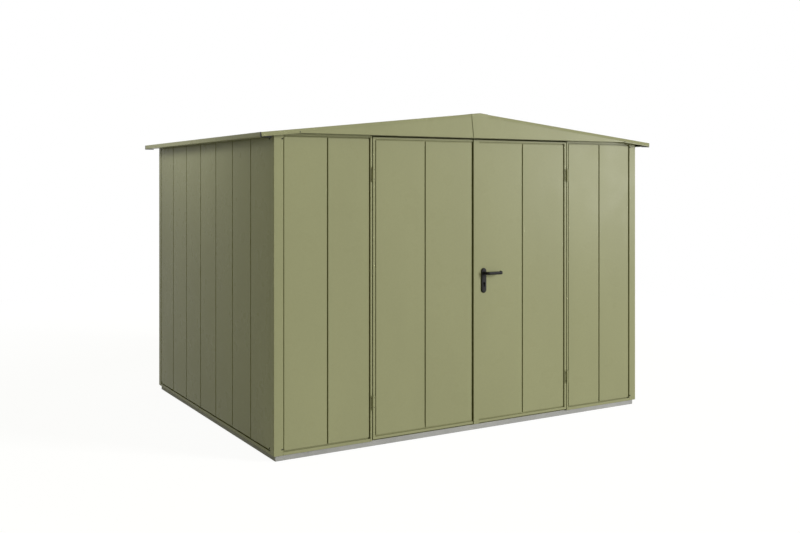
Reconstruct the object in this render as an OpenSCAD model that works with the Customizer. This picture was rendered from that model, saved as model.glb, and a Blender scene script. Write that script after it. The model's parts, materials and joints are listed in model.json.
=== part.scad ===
// Metal storage shed with a low gable roof and a double door.
// Origin: on the ground at the middle of the footprint. X runs along the front, the front is at -Y, Z is up.
// All lengths are in millimetres.

/* [Overall] */
// Width over the front wall
shed_w = 3020; // [2400:10:3700]
// Depth over the side walls
shed_d = 2380; // [1600:10:3200]
// Height of the walls above the base slab
wall_h = 1981; // [1600:1:2400]
// Slope of the roof in degrees
roof_pitch = 6.07; // [4:0.01:10]

/* [Base slab] */
// Height of the slab above the ground
slab_h = 36; // [20:1:80]
// How far the slab stands back from the wall faces
slab_inset = 15; // [5:1:30]

/* [Sheet metal] */
// Thickness of the folded sheet
sheet = 1.2; // [0.8:0.1:2]
// Width of the shadow groove between two panels
groove = 8; // [5:0.5:12]
// Depth of the shadow groove behind the faces beside it
groove_deep = 10; // [6:0.5:12]
// Depth of a wall panel's stiffening fold
panel_deep = 18; // [15:1:25]
// Seam left between two pieces that meet
seam = 0.3; // [0.2:0.1:0.5]

/* [Wall rails and posts] */
// Depth of the rails from the wall face inwards
rail_deep = 40; // [30:1:60]
// Height of the bottom rail's outer lip
bottom_lip = 19; // [12:1:30]
// Height of the top rail's outer lip
top_lip = 14.5; // [10:0.5:25]
// Height of the rails' inner web
rail_web = 46; // [30:1:70]
// Width of a corner post's flange in the front and back walls
post_front = 61.7; // [45:0.1:90]
// Width of a corner post's flange in the side walls
post_side = 56; // [40:1:90]

/* [Panels] */
// Number of panels beside each side of the door
front_panels = 2; // [1:1:3]
// How far the faces of the front and door panels lie behind the posts and frames
panel_in = 4.5; // [0:0.5:6]
// Number of panels in a side wall
side_panels = 7; // [4:1:9]
// Number of panels in the back wall
back_panels = 9; // [6:1:12]
// Number of panels on one slope of the roof
roof_panels = 8; // [5:1:10]

/* [Doorway] */
// Clear width between the two jambs
doorway_w = 1642.2; // [1300:0.2:2000]
// Width of a jamb's face
jamb_face = 13.6; // [10:0.1:20]
// How far the door stop stands into the doorway
stop_w = 25; // [12:1:30]
// Gap between a jamb and its door leaf
hinge_gap = 6; // [6:0.5:14]
// Gap between the two door leaves
meet_gap = 7.5; // [6:0.5:12]
// Place of the gap between the leaves, from the middle of the doorway
meet_x = -20.75; // [-40:0.25:40]
// Gap under the door leaves
leaf_bottom_gap = 10; // [8:0.5:20]
// Gap between a leaf's top edge and the top of the walls
leaf_top_gap = 9; // [8:0.5:20]

/* [Door leaves] */
// Thickness of a leaf
leaf_deep = 35; // [28:1:45]
// Width of the leaf frame's face at the hinges
hinge_border = 16.5; // [12:0.5:25]
// Height of the leaf frame's face at the bottom
bottom_border = 17; // [10:0.5:25]
// Height of the leaf frame's face at the top
top_border = 13.5; // [10:0.5:25]
// Width of the leaf frame's members behind the panels
frame_w = 45; // [30:1:60]
// Width of the strip that covers the meeting edge
strip_w = 42; // [30:1:60]
// Thickness of that strip
strip_t = 1.5; // [1:0.1:3]

/* [Hinges] */
// Height of a hinge
hinge_h = 90; // [60:1:140]
// Radius of a hinge knuckle
knuckle_r = 6; // [5:0.5:8]
// Radius of the hinge pin
pin_r = 3; // [2:0.5:4]
// How far the pin's axis stands in front of the wall face
pin_out = 7; // [6.5:0.5:10]
// Thickness of a hinge leaf
hinge_t = 2.5; // [1.5:0.5:3.5]
// Height of the lower hinges' middle above the slab
low_hinge_z = 249; // [150:1:500]
// Distance of the upper hinges' middle below the wall top
high_hinge_drop = 252; // [150:1:500]

/* [Handle and lock] */
// Height of the lever's spindle above the slab
spindle_h = 1047; // [850:1:1200]
// Distance of the spindle from the middle of the doorway
spindle_x = 70; // [50:1:100]
// Distance from the spindle down to the lock cylinder
cylinder_drop = 72; // [60:1:92]
// Width of the handle plate
plate_w = 42; // [34:1:56]
// Length of the handle plate above the spindle
plate_up = 35; // [25:1:60]
// Length of the handle plate below the lock cylinder
plate_down = 66; // [40:1:90]
// Thickness of the handle plate
plate_t = 8; // [5:0.5:12]
// Radius of the spindle
spindle_r = 5; // [4:0.5:7]
// Length of the lever from the spindle to its tip
lever_len = 131; // [90:1:135]
// How far the lever stands in front of the door
lever_out = 55; // [45:1:70]
// Height of the lever's grip
lever_h = 20; // [14:1:26]
// Thickness of the lever's grip
lever_t = 13; // [9:1:18]
// Depth of the lock case behind the door leaf
lock_deep = 18; // [12:1:30]

/* [Roof] */
// Thickness of a roof panel
roof_t = 10; // [9.5:0.5:20]
// Overhang of the roof beyond the side walls
eave_out = 104; // [60:1:160]
// Overhang of the roof beyond the front and back walls
verge_out = 48.5; // [30:0.5:90]
// Height of the fold along the roof's front and back edges
verge_h = 19; // [15:1:30]
// Height of the narrow part of the fascia
fascia_h = 27; // [22:1:40]
// Height of the fascia's level edge above the wall top
fascia_up = 1; // [0:0.5:4]
// Thickness of the fascia
fascia_t = 1.5; // [1:0.1:3]
// Width of the fascia's lower lip
fascia_lip = 12; // [6:1:20]
// Height of an eave trim
eave_h = 28; // [24:1:40]
// Width of an eave trim's underside
eave_w = 70; // [40:1:85]
// Length of an eave end cap along the trim
cap_len = 13; // [8:1:20]
// How far an eave end cap hangs below the trim
cap_drop = 5; // [3:1:10]
// Half the width of the ridge cap
ridge_half = 69; // [50:1:100]
// Half the width of the fascia cover's lower edge
cover_half = 50; // [35:1:60]
// Height of the roof beams
beam_h = 50; // [40:1:80]
// Width of the roof beams
beam_w = 40; // [30:1:60]

/* [Hidden] */
$fn = 48;
// How far a cutting shape reaches past the faces it cuts
over = 1;
green = [0.57, 0.58, 0.44];
light_green = [0.62, 0.63, 0.49];
dark_green = [0.45, 0.46, 0.33];
concrete = [0.62, 0.62, 0.61];
black = [0.16, 0.16, 0.17];
steel = [0.66, 0.67, 0.68];

// Heights
wall_top = slab_h + wall_h;
panel_z0 = slab_h + bottom_lip + groove;
panel_z1 = wall_top - top_lip - groove;
leaf_z0 = slab_h + leaf_bottom_gap;
leaf_z1 = wall_top - leaf_top_gap;
leaf_h = leaf_z1 - leaf_z0;
header_low = 3;
header_z0 = wall_top - header_low;
header_h = 28;
header_u = 1.5;
sill_t = 1.5;
sill_stop_h = 26;

// Places along the front wall, from its left end
jamb_x0 = shed_w / 2 - doorway_w / 2 - jamb_face;
jamb_x1 = shed_w / 2 - doorway_w / 2;

// Places across the door leaves, from the middle of the shed
leaf_hinge_x = doorway_w / 2 - hinge_gap;
pin_x = doorway_w / 2 - hinge_gap / 2;
left_meet_x = meet_x - meet_gap / 2;
strip_x0 = meet_x + meet_gap / 2;
right_meet_x = strip_x0 + strip_t + seam;
left_leaf_w = leaf_hinge_x + left_meet_x;
right_leaf_w = leaf_hinge_x - right_meet_x;
leaf_step = groove_deep + seam;
leaf_panel_x0 = hinge_border + groove;
left_leaf_panel_w = (left_leaf_w - leaf_panel_x0 - 2 * groove) / 2;
strip_drop = 3;

// Door stops, measured from the wall face inwards
stop_gap = 7;
sill_stop_gap = 5.3;
stop_u = leaf_deep + stop_gap;
sill_stop_u = leaf_deep + sill_stop_gap;

// Roof planes
ridge_z = wall_top + seam + roof_t / cos(roof_pitch) + tan(roof_pitch) * shed_w / 2;
roof_w = shed_w + 2 * eave_out;
roof_d = shed_d + 2 * verge_out;
eave_in = 1.5;
slope_len = (roof_w / 2 - eave_in) / cos(roof_pitch);
ridge_gap = 2;
roof_tail_up = 1;
fascia_low = wall_top + fascia_up;
fascia_top_gap = 3;
fascia_short = 4;
fascia_end = roof_w / 2 - fascia_short;
fascia_y = shed_d / 2 + verge_out - sheet - seam;
fascia_joint = 4;
kink_x = (ridge_z - fascia_h - fascia_low) / tan(roof_pitch);
eave_up = 1;
eave_top = roof_top(roof_w / 2) + eave_up;
eave_fold_w = 40;
trim_y = fascia_y - fascia_t - seam - cap_len - seam;
cap_t = 2;
cap_plate_t = 2.2;
gable_short = 40;
gable_half = shed_w / 2 - post_front - gable_short;
gable_deep = stop_u + sheet;

// Hinges
low_hinge = slab_h + low_hinge_z;
high_hinge = wall_top - high_hinge_drop;
pin_fit = 0.05;
pin_short = 2;
knuckle_seam = 0.5;
plate_from_gap = 2;
plate_from_edge = 1;
arm_reach = 2.5;
arm_out = 1.5;
arm_w = hinge_gap / 2 + arm_reach;

// Handle and lock
spindle_z = slab_h + spindle_h;
plate_u = panel_in - plate_t;
cylinder_z = spindle_z - cylinder_drop;
cylinder_r = 8.5;
cylinder_leg = 19.5;
cylinder_leg_r = 5;
cylinder_in = 2.5;
key_w = 2;
key_h = 9;
key_deep = 3.5;
fit_gap = 0.3;
hole_gap = 1;
neck_r = 8.5;
collar_r = 11;
collar_gap = 0.6;
collar_t = 5;
lever_return = 20;
lock_from_edge = 6;
lock_past_spindle = 28;
lock_x0 = right_meet_x + lock_from_edge;
lock_x1 = spindle_x + lock_past_spindle;
lock_up = 45;
lock_down = 60;
bolt_w = 30;
bolt_t = 12;
bolt_h = 200;
bolt_from_edge = 16;
bolt_clear = 24;

// Height of the roof's upper and lower surface at a distance x from the ridge
function roof_top(x) = ridge_z - tan(roof_pitch) * abs(x);
function roof_under(x) = roof_top(x) - roof_t / cos(roof_pitch);
// Width of each of count panels in a run, with a groove after each one
function panel_width(run, count) = (run - count * groove) / count;

// Puts a wall, drawn along X with its face at Y = 0, on the front, left or back of the shed
module on_front() translate([-shed_w / 2, -shed_d / 2, 0]) children();
module on_left() translate([-shed_w / 2, -shed_d / 2, 0]) mirror([1, -1, 0]) children();
module on_back() mirror([0, 1, 0]) on_front() children();
module other_side() mirror([1, 0, 0]) children();

// Extrudes an outline drawn in X and Z from depth u0 to depth u1 behind the front face
module front_slice(u0, u1) {
    translate([0, u1 - shed_d / 2, 0]) rotate([90, 0, 0]) linear_extrude(u1 - u0) children();
}

// Extrudes an outline drawn in X and Z along the whole depth, a length long about the middle
module along_depth(length) {
    translate([0, length / 2, 0]) rotate([90, 0, 0]) linear_extrude(length) children();
}

// ---- Base ----

module base_slab() {
    color(concrete)
    translate([slab_inset - shed_w / 2, slab_inset - shed_d / 2, 0])
        cube([shed_w - 2 * slab_inset, shed_d - 2 * slab_inset, slab_h]);
}

module door_sill() {
    color(dark_green) on_front() translate([jamb_x1 + seam, 0, slab_h]) {
        sill_w = doorway_w - 2 * seam;
        translate([0, slab_inset, 0]) cube([sill_w, sill_stop_u + sheet - slab_inset, sill_t]);
        translate([0, sill_stop_u, 0]) cube([sill_w, sheet, sill_stop_h]);
    }
}

// ---- Wall frame ----

// Channel that stands on the slab and holds the panels' lower edges
module bottom_rail(length) {
    translate([0, 0, slab_h]) {
        cube([length, sheet, bottom_lip]);
        cube([length, rail_deep, sheet]);
        translate([0, rail_deep - sheet, 0]) cube([length, sheet, rail_web]);
    }
}

// Channel that closes the wall at the top and carries the roof
module top_rail(length) {
    translate([0, 0, wall_top - sheet]) cube([length, rail_deep, sheet]);
    translate([0, 0, wall_top - top_lip]) cube([length, sheet, top_lip]);
    translate([0, rail_deep - sheet, wall_top - rail_web]) cube([length, sheet, rail_web]);
}

module rails(start, end) {
    translate([start + seam, 0, 0]) {
        bottom_rail(end - start - 2 * seam);
        top_rail(end - start - 2 * seam);
    }
}

// Corner post: two flanges with folded edges; a tail closes the first groove of the wall beside it
module corner_post(tail, front_fold, side_fold) {
    post_h = wall_top - slab_h;
    translate([0, 0, slab_h]) {
        cube([post_front, sheet, post_h]);
        cube([sheet, post_side, post_h]);
        if (front_fold)
            translate([post_front - sheet, 0, 0]) cube([sheet, groove_deep, post_h]);
        if (side_fold)
            translate([0, post_side - sheet, 0]) cube([groove_deep, sheet, post_h]);
        if (tail)
            translate([post_front - sheet, groove_deep - sheet, sheet + seam])
                cube([sheet + groove - seam, sheet, post_h - 2 * sheet - 2 * seam]);
    }
}

// Jamb with the stop that the closed leaf lies against
module door_jamb() {
    on_front() translate([jamb_x0, 0, slab_h]) linear_extrude(header_z0 - slab_h - seam) {
        square([jamb_face, sheet]);
        square([sheet, stop_u + sheet]);
        translate([jamb_face - sheet, 0]) square([sheet, stop_u + sheet]);
        translate([0, stop_u]) square([jamb_face + stop_w, sheet]);
    }
}

module door_header() {
    header_w = doorway_w + 2 * jamb_face;
    color(green) translate([-header_w / 2, -shed_d / 2, header_z0]) {
        translate([0, header_u, 0]) cube([header_w, sheet, header_h]);
        translate([0, header_u, 0]) cube([header_w, stop_u + sheet - header_u, sheet]);
        translate([0, header_u, header_h - sheet])
            cube([header_w, stop_u + sheet - header_u, sheet]);
        translate([0, stop_u, 0]) cube([header_w, sheet, header_h]);
        translate([jamb_face + stop_w + seam, stop_u, -stop_w])
            cube([doorway_w - 2 * stop_w - 2 * seam, sheet, stop_w]);
    }
}

// ---- Wall panels ----

// Folded wall panel with its face set back: its front stands between the grooves, a tongue
// enters each rail, and a tail on its right closes the groove up to the next piece
module wall_panel(width, set_back) {
    panel_h = panel_z1 - panel_z0;
    low = slab_h + sheet + seam;
    high = wall_top - sheet - seam;
    translate([0, set_back, panel_z0]) {
        cube([width, sheet, panel_h]);
        cube([sheet, panel_deep - set_back, panel_h]);
        translate([width - sheet, 0, 0]) cube([sheet, panel_deep - set_back, panel_h]);
        cube([width, groove_deep, sheet]);
        translate([0, 0, panel_h - sheet]) cube([width, groove_deep, sheet]);
    }
    translate([0, set_back + groove_deep - sheet, 0]) {
        translate([0, 0, low]) cube([width, sheet, panel_z0 + sheet - low]);
        translate([0, 0, panel_z1 - sheet]) cube([width, sheet, high - panel_z1 + sheet]);
        translate([width - sheet, 0, low]) cube([sheet + groove - seam, sheet, high - low]);
    }
}

// Row of count panels from start to end; the last one's tail reaches the end
module panel_row(start, end, count, set_back) {
    width = panel_width(end - start, count);
    for (i = [0 : count - 1])
        translate([start + i * (width + groove), 0, 0]) wall_panel(width, set_back);
}

module front_row() panel_row(post_front + groove, jamb_x0, front_panels, panel_in);
module side_row() panel_row(post_side + seam, shed_d - post_side, side_panels, 0);
module back_row() panel_row(post_front + groove, shed_w - post_front, back_panels, 0);

// ---- Gables and roof ----

// Gable panel: a flat sheet with a fold under the roof
module gable_panel() {
    z0 = wall_top + seam;
    color(green) {
        front_slice(0, sheet) polygon([
            [-gable_half, z0],
            [gable_half, z0],
            [gable_half, roof_under(gable_half) - seam],
            [0, roof_under(0) - seam],
            [-gable_half, roof_under(gable_half) - seam]
        ]);
        front_slice(0, gable_deep) polygon([
            [-gable_half, roof_under(gable_half) - seam - sheet],
            [0, roof_under(0) - seam - sheet],
            [gable_half, roof_under(gable_half) - seam - sheet],
            [gable_half, roof_under(gable_half) - seam],
            [0, roof_under(0) - seam],
            [-gable_half, roof_under(gable_half) - seam]
        ]);
    }
}

// Left half of the fascia: level below, narrow towards the eave
module fascia_half() {
    front_slice(shed_d / 2 - fascia_y, shed_d / 2 - fascia_y + fascia_t) polygon([
        [-fascia_joint, fascia_low],
        [-fascia_joint, roof_top(fascia_joint) - fascia_top_gap],
        [-fascia_end, roof_top(fascia_end) - fascia_top_gap],
        [-fascia_end, roof_top(fascia_end) - fascia_h],
        [-kink_x, fascia_low]
    ]);
    translate([-kink_x, -fascia_y, fascia_low]) cube([kink_x - fascia_joint, fascia_lip, sheet]);
}

module fascia() {
    fascia_half();
    other_side() fascia_half();
}

// Plate over the joint of the two fascia halves, up to the end of the ridge cap
module fascia_cover() {
    cover_y = -verge_out - seam - fascia_t;
    front_slice(cover_y, cover_y + fascia_t) polygon([
        [-cover_half, fascia_low],
        [cover_half, fascia_low],
        [ridge_half, roof_top(ridge_half) + seam + sheet],
        [0, ridge_z + seam + sheet],
        [-ridge_half, roof_top(ridge_half) + seam + sheet]
    ]);
}

// Folded roof panel, lying from the ridge at X = 0 to the eave along X, with its tail towards +Y
module roof_panel(width, tail) {
    length = slope_len - ridge_gap;
    translate([ridge_gap, 0, 0]) {
        translate([0, 0, -sheet]) cube([length, width, sheet]);
        translate([0, 0, -roof_t]) cube([length, sheet, roof_t]);
        translate([0, width - sheet, -roof_t]) cube([length, sheet, roof_t]);
        translate([0, 0, -roof_t]) cube([sheet, width, roof_t]);
        translate([length - sheet, 0, -roof_t]) cube([sheet, width, roof_t]);
        if (tail)
            translate([0, width - sheet, roof_tail_up - roof_t])
                cube([length, sheet + groove - seam, sheet]);
    }
}

module roof_slope() {
    width = (roof_d + groove) / roof_panels - groove;
    translate([0, 0, ridge_z]) rotate([0, roof_pitch, 0]) {
        for (i = [0 : roof_panels - 1])
            translate([0, i * (width + groove) - roof_d / 2, 0])
                roof_panel(width, i < roof_panels - 1);
        for (y = [-roof_d / 2, roof_d / 2 - sheet])
            translate([ridge_gap, y, -verge_h]) cube([slope_len - ridge_gap, sheet, verge_h]);
    }
}

module ridge_cap() {
    lift = seam;
    color(light_green) along_depth(roof_d) polygon([
        [-ridge_half, roof_top(ridge_half) + lift],
        [0, ridge_z + lift],
        [ridge_half, roof_top(ridge_half) + lift],
        [ridge_half, roof_top(ridge_half) + lift + sheet],
        [0, ridge_z + lift + sheet],
        [-ridge_half, roof_top(ridge_half) + lift + sheet]
    ]);
}

// Eave trim on the left: outer face, underside and a fold under the roof panels
module eave_trim() {
    x0 = -roof_w / 2;
    fold_x = x0 + eave_fold_w;
    color(light_green) along_depth(2 * trim_y) {
        translate([x0, eave_top - eave_h]) square([sheet, eave_h]);
        translate([x0, eave_top - eave_h]) square([eave_w, sheet]);
        polygon([
            [x0, roof_under(x0) - seam - sheet],
            [fold_x, roof_under(fold_x) - seam - sheet],
            [fold_x, roof_under(fold_x) - seam],
            [x0, roof_under(x0) - seam]
        ]);
    }
}

// Cap over the left trim's front end
module eave_cap() {
    x0 = -roof_w / 2;
    u0 = shed_d / 2 - fascia_y + fascia_t + seam;
    z0 = eave_top - eave_h - cap_drop;
    front_slice(u0, u0 + cap_plate_t) polygon([
        [x0, z0],
        [x0 + eave_w, z0],
        [x0 + eave_w, roof_under(x0 + eave_w) - seam],
        [x0, roof_under(x0) - seam]
    ]);
    front_slice(u0, u0 + cap_len) {
        translate([x0, z0]) square([sheet, eave_top - z0]);
        translate([x0, z0]) square([eave_w, cap_t]);
    }
}

// Beam along the depth, open below, its top under the roof at a distance x from the ridge
module roof_beam(x) {
    beam_top = roof_under(abs(x) + beam_w / 2) - seam;
    along_depth(shed_d - 2 * gable_deep - 2 * seam) translate([x - beam_w / 2, beam_top - beam_h]) {
        translate([0, beam_h - sheet]) square([beam_w, sheet]);
        square([sheet, beam_h]);
        translate([beam_w - sheet, 0]) square([sheet, beam_h]);
    }
}

module roof_beams() {
    color(steel) for (x = [-shed_w / 4, 0, shed_w / 4]) roof_beam(x);
}

// ---- Door leaves ----

// Leaf frame, drawn from its hinge edge at X = 0 to its meeting edge at X = width
module leaf_frame(width, meet_border) {
    cavity_w = frame_w - 2 * sheet;
    difference() {
        union() {
            translate([0, leaf_step, 0]) cube([width, leaf_deep - leaf_step, leaf_h]);
            cube([hinge_border, leaf_step, leaf_h]);
            cube([width, leaf_step, bottom_border]);
            translate([0, 0, leaf_h - top_border]) cube([width, leaf_step, top_border]);
            if (meet_border > 0)
                translate([width - meet_border, 0, 0]) cube([meet_border, leaf_step, leaf_h]);
        }
        translate([frame_w, -over, frame_w])
            cube([width - 2 * frame_w, leaf_deep + 2 * over, leaf_h - 2 * frame_w]);
        // The members are channels, open towards the inside of the shed
        for (x = [sheet, width - sheet - cavity_w])
            translate([x, leaf_step + sheet, sheet]) cube([cavity_w, leaf_deep, leaf_h - 2 * sheet]);
        for (z = [sheet, leaf_h - sheet - cavity_w])
            translate([sheet, leaf_step + sheet, z]) cube([width - 2 * sheet, leaf_deep, cavity_w]);
    }
}

// Shallow tray that lies on the leaf frame. The fold at the leaf's middle groove is deeper
// between the frame's members, and the first panel's tail closes that groove.
module leaf_panel(width, tail) {
    z0 = bottom_border + groove;
    panel_h = leaf_h - top_border - groove - z0;
    fold = groove_deep - panel_in;
    inner_z0 = frame_w + seam;
    inner_h = leaf_h - 2 * inner_z0;
    translate([0, panel_in, z0]) {
        cube([width, sheet, panel_h]);
        cube([sheet, fold, panel_h]);
        translate([width - sheet, 0, 0]) cube([sheet, fold, panel_h]);
        cube([width, fold, sheet]);
        translate([0, 0, panel_h - sheet]) cube([width, fold, sheet]);
    }
    translate([tail ? width - sheet : 0, panel_in, inner_z0]) {
        cube([sheet, groove_deep, inner_h]);
        if (tail)
            translate([0, groove_deep - sheet, 0]) cube([sheet + groove - seam, sheet, inner_h]);
    }
}

// The two panels of a leaf; end_x is the far edge of the second one
module leaf_panels(end_x) {
    second_x = leaf_panel_x0 + left_leaf_panel_w + groove;
    translate([leaf_panel_x0, 0, 0]) leaf_panel(left_leaf_panel_w, true);
    translate([second_x, 0, 0]) leaf_panel(end_x - second_x, false);
}

module on_left_leaf() translate([-leaf_hinge_x, -shed_d / 2, leaf_z0]) children();
module on_right_leaf() other_side() on_left_leaf() children();

module right_door_strip() {
    strip_h = leaf_h + strip_drop;
    color(light_green) translate([strip_x0, -shed_d / 2 - strip_t, leaf_z0 - strip_drop]) {
        cube([strip_w, strip_t, strip_h]);
        cube([strip_t, strip_t + leaf_deep, strip_h]);
    }
}

// Lift-off hinge halves, drawn for the left leaf with the pin's axis at the origin of X and Y
module on_left_pins() {
    for (z = [low_hinge, high_hinge]) translate([-pin_x, -shed_d / 2 - pin_out, z]) children();
}

// Half on the jamb: lower knuckle, pin and plate
module frame_hinge() {
    translate([0, 0, -hinge_h / 2]) {
        cylinder(r = knuckle_r, h = hinge_h / 2 - knuckle_seam);
        cylinder(r = pin_r, h = hinge_h - pin_short);
        translate([plate_from_edge - hinge_gap / 2 - jamb_face, pin_out - hinge_t, 0])
            cube([jamb_face - plate_from_edge - plate_from_gap, hinge_t, hinge_h]);
        translate([-arm_w, pin_out - hinge_t - arm_out, 0])
            cube([arm_w, hinge_t, hinge_h / 2 - knuckle_seam]);
    }
}

// Half on the leaf: upper knuckle with its bore, and plate
module leaf_hinge() {
    translate([0, 0, -hinge_h / 2])
        translate([hinge_gap / 2 + plate_from_gap, pin_out - hinge_t, 0])
            cube([hinge_border - plate_from_edge - plate_from_gap, hinge_t, hinge_h]);
    difference() {
        union() {
            cylinder(r = knuckle_r, h = hinge_h / 2);
            translate([0, pin_out - hinge_t - arm_out, 0])
                cube([arm_w, hinge_t, hinge_h / 2]);
        }
        translate([0, 0, -over]) cylinder(r = pin_r + pin_fit, h = hinge_h / 2 + 2 * over);
    }
}

module frame_hinges() {
    color(light_green) {
        on_left_pins() frame_hinge();
        other_side() on_left_pins() frame_hinge();
    }
}

// Two flat bolts inside the left leaf, at its top and bottom
module left_door_bolts() {
    color(steel) for (z = [leaf_z0 + bolt_clear, leaf_z1 - stop_w - bolt_clear - bolt_h])
        front_slice(leaf_deep, leaf_deep + bolt_t)
            translate([left_meet_x - bolt_from_edge - bolt_w, z]) square([bolt_w, bolt_h]);
}

// ---- Handle and lock ----

// Outline of a handle plate, rounded at both ends
module plate_outline() {
    r = plate_w / 2;
    z0 = cylinder_z - plate_down + r;
    z1 = spindle_z + plate_up - r;
    translate([spindle_x - r, z0]) square([plate_w, z1 - z0]);
    for (z = [z0, z1]) translate([spindle_x, z]) circle(r);
}

// Outline of a profile cylinder, grown by a gap
module cylinder_outline(gap) {
    leg_r = cylinder_leg_r + gap;
    translate([spindle_x, cylinder_z]) circle(cylinder_r + gap);
    translate([spindle_x - leg_r, cylinder_z - cylinder_leg]) square([2 * leg_r, cylinder_leg]);
    translate([spindle_x, cylinder_z - cylinder_leg]) circle(leg_r);
}

module spindle_outline(r) translate([spindle_x, spindle_z]) circle(r);

module handle_plates() {
    color(black) for (u = [plate_u, leaf_deep + lock_deep]) front_slice(u, u + plate_t) difference() {
        plate_outline();
        cylinder_outline(fit_gap);
        spindle_outline(spindle_r + pin_fit);
    }
}

module lock_case() {
    color(steel) front_slice(leaf_deep, leaf_deep + lock_deep) difference() {
        translate([lock_x0, cylinder_z - lock_down])
            square([lock_x1 - lock_x0, cylinder_drop + lock_down + lock_up]);
        cylinder_outline(fit_gap);
        spindle_outline(spindle_r + hole_gap);
    }
}

module lock_cylinder() {
    front_u = plate_u + cylinder_in;
    back_u = leaf_deep + lock_deep + plate_t - cylinder_in;
    color(black) difference() {
        front_slice(front_u, back_u) cylinder_outline(0);
        front_slice(front_u - over, front_u + key_deep)
            translate([spindle_x - key_w / 2, cylinder_z - key_h / 2]) square([key_w, key_h]);
    }
}

// Collar, neck and grip on one side of the door, outwards from the plate's face at face_u
module lever_side(face_u) {
    front_slice(face_u - collar_gap - collar_t, face_u - collar_gap) spindle_outline(collar_r);
    front_slice(-lever_out, face_u - collar_gap) spindle_outline(neck_r);
    front_slice(-lever_out, lever_t - lever_out) {
        translate([spindle_x, spindle_z - lever_h / 2])
            square([lever_len - lever_h / 2, lever_h]);
        translate([spindle_x + lever_len - lever_h / 2, spindle_z]) circle(lever_h / 2);
        spindle_outline(lever_h / 2);
    }
    front_slice(-lever_out, lever_return + lever_t - lever_out)
        translate([spindle_x + lever_len - lever_h / 2, spindle_z]) circle(lever_t / 2);
}

module lever_handle() {
    inner_u = leaf_deep + lock_deep;
    color(black) {
        lever_side(plate_u);
        front_slice(-lever_out, inner_u + lever_out) spindle_outline(spindle_r);
        translate([0, inner_u - shed_d, 0]) mirror([0, 1, 0]) lever_side(-plate_t);
    }
}

base_slab();
door_sill();
color(green) on_front() rails(post_front, jamb_x0);  // front_left_rails
color(green) other_side() on_front() rails(post_front, jamb_x0);  // front_right_rails
color(green) on_left() rails(post_side, shed_d - post_side);  // left_wall_rails
color(green) other_side() on_left() rails(post_side, shed_d - post_side);  // right_wall_rails
color(green) on_back() rails(post_front, shed_w - post_front);  // back_wall_rails
color(light_green) on_front() corner_post(true, true, false);  // front_left_post
color(light_green) other_side() on_front() corner_post(true, true, false);  // front_right_post
color(light_green) on_back() corner_post(true, true, true);  // back_left_post
color(light_green) other_side() on_back() corner_post(false, true, true);  // back_right_post
color(light_green) door_jamb();  // left_door_jamb
color(light_green) other_side() door_jamb();  // right_door_jamb
door_header();
color(green) on_front() front_row();  // front_left_panels
color(green) other_side() on_front() front_row();  // front_right_panels
color(green) on_left() side_row();  // left_wall_panels
color(green) other_side() on_left() side_row();  // right_wall_panels
color(green) on_back() back_row();  // back_wall_panels
gable_panel();  // front_gable_panel
mirror([0, 1, 0]) gable_panel();  // back_gable_panel
color(green) fascia();  // front_fascia
color(green) mirror([0, 1, 0]) fascia();  // back_fascia
color(light_green) {  // fascia_covers
    fascia_cover();
    mirror([0, 1, 0]) fascia_cover();
}
color(dark_green) other_side() roof_slope();  // left_roof_panels
color(dark_green) roof_slope();  // right_roof_panels
ridge_cap();
eave_trim();  // left_eave_trim
other_side() eave_trim();  // right_eave_trim
color(black) {  // eave_end_caps
    eave_cap();
    other_side() eave_cap();
    mirror([0, 1, 0]) eave_cap();
    other_side() mirror([0, 1, 0]) eave_cap();
}
roof_beams();
frame_hinges();
color(light_green) on_left_leaf() leaf_frame(left_leaf_w, 0);  // left_door_frame
color(green) on_left_leaf() leaf_panels(left_leaf_w - groove);  // left_door_panels
color(light_green) on_left_pins() leaf_hinge();  // left_door_hinges
left_door_bolts();
color(light_green) on_right_leaf() leaf_frame(right_leaf_w, groove);  // right_door_frame
color(green) difference() {  // right_door_panels
    on_right_leaf() leaf_panels(right_leaf_w - 2 * groove);
    front_slice(-over, leaf_step) {
        cylinder_outline(hole_gap);
        spindle_outline(neck_r);
    }
}
right_door_strip();
color(light_green) other_side() on_left_pins() leaf_hinge();  // right_door_hinges
handle_plates();
lock_case();
lock_cylinder();
lever_handle();
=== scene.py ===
import json
import math

import bmesh
import bpy
from mathutils import Matrix, Vector


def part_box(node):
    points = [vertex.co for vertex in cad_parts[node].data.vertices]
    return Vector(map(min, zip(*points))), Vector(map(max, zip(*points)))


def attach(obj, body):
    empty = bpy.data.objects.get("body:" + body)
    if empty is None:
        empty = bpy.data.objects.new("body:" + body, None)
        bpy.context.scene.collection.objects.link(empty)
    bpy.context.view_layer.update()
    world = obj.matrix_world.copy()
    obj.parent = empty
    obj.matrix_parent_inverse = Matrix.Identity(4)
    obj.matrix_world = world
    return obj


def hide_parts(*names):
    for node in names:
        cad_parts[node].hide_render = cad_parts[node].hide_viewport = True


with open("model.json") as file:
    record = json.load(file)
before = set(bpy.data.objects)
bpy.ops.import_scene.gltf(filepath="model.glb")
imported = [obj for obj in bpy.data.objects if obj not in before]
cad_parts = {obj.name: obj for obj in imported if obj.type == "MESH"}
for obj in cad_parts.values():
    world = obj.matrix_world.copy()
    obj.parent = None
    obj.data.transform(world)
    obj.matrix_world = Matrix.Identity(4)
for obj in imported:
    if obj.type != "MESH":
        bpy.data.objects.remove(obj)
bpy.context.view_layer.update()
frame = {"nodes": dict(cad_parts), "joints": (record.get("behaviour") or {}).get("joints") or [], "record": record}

scene = bpy.context.scene
scene.view_settings.view_transform = "Standard"
nodes = frame["nodes"]
X, Y, Z = Vector((1, 0, 0)), Vector((0, 1, 0)), Vector((0, 0, 1))

# Metal storage shed: origin on the ground, X along the front, front at -Y, metres.

# ---- Camera ----

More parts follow.
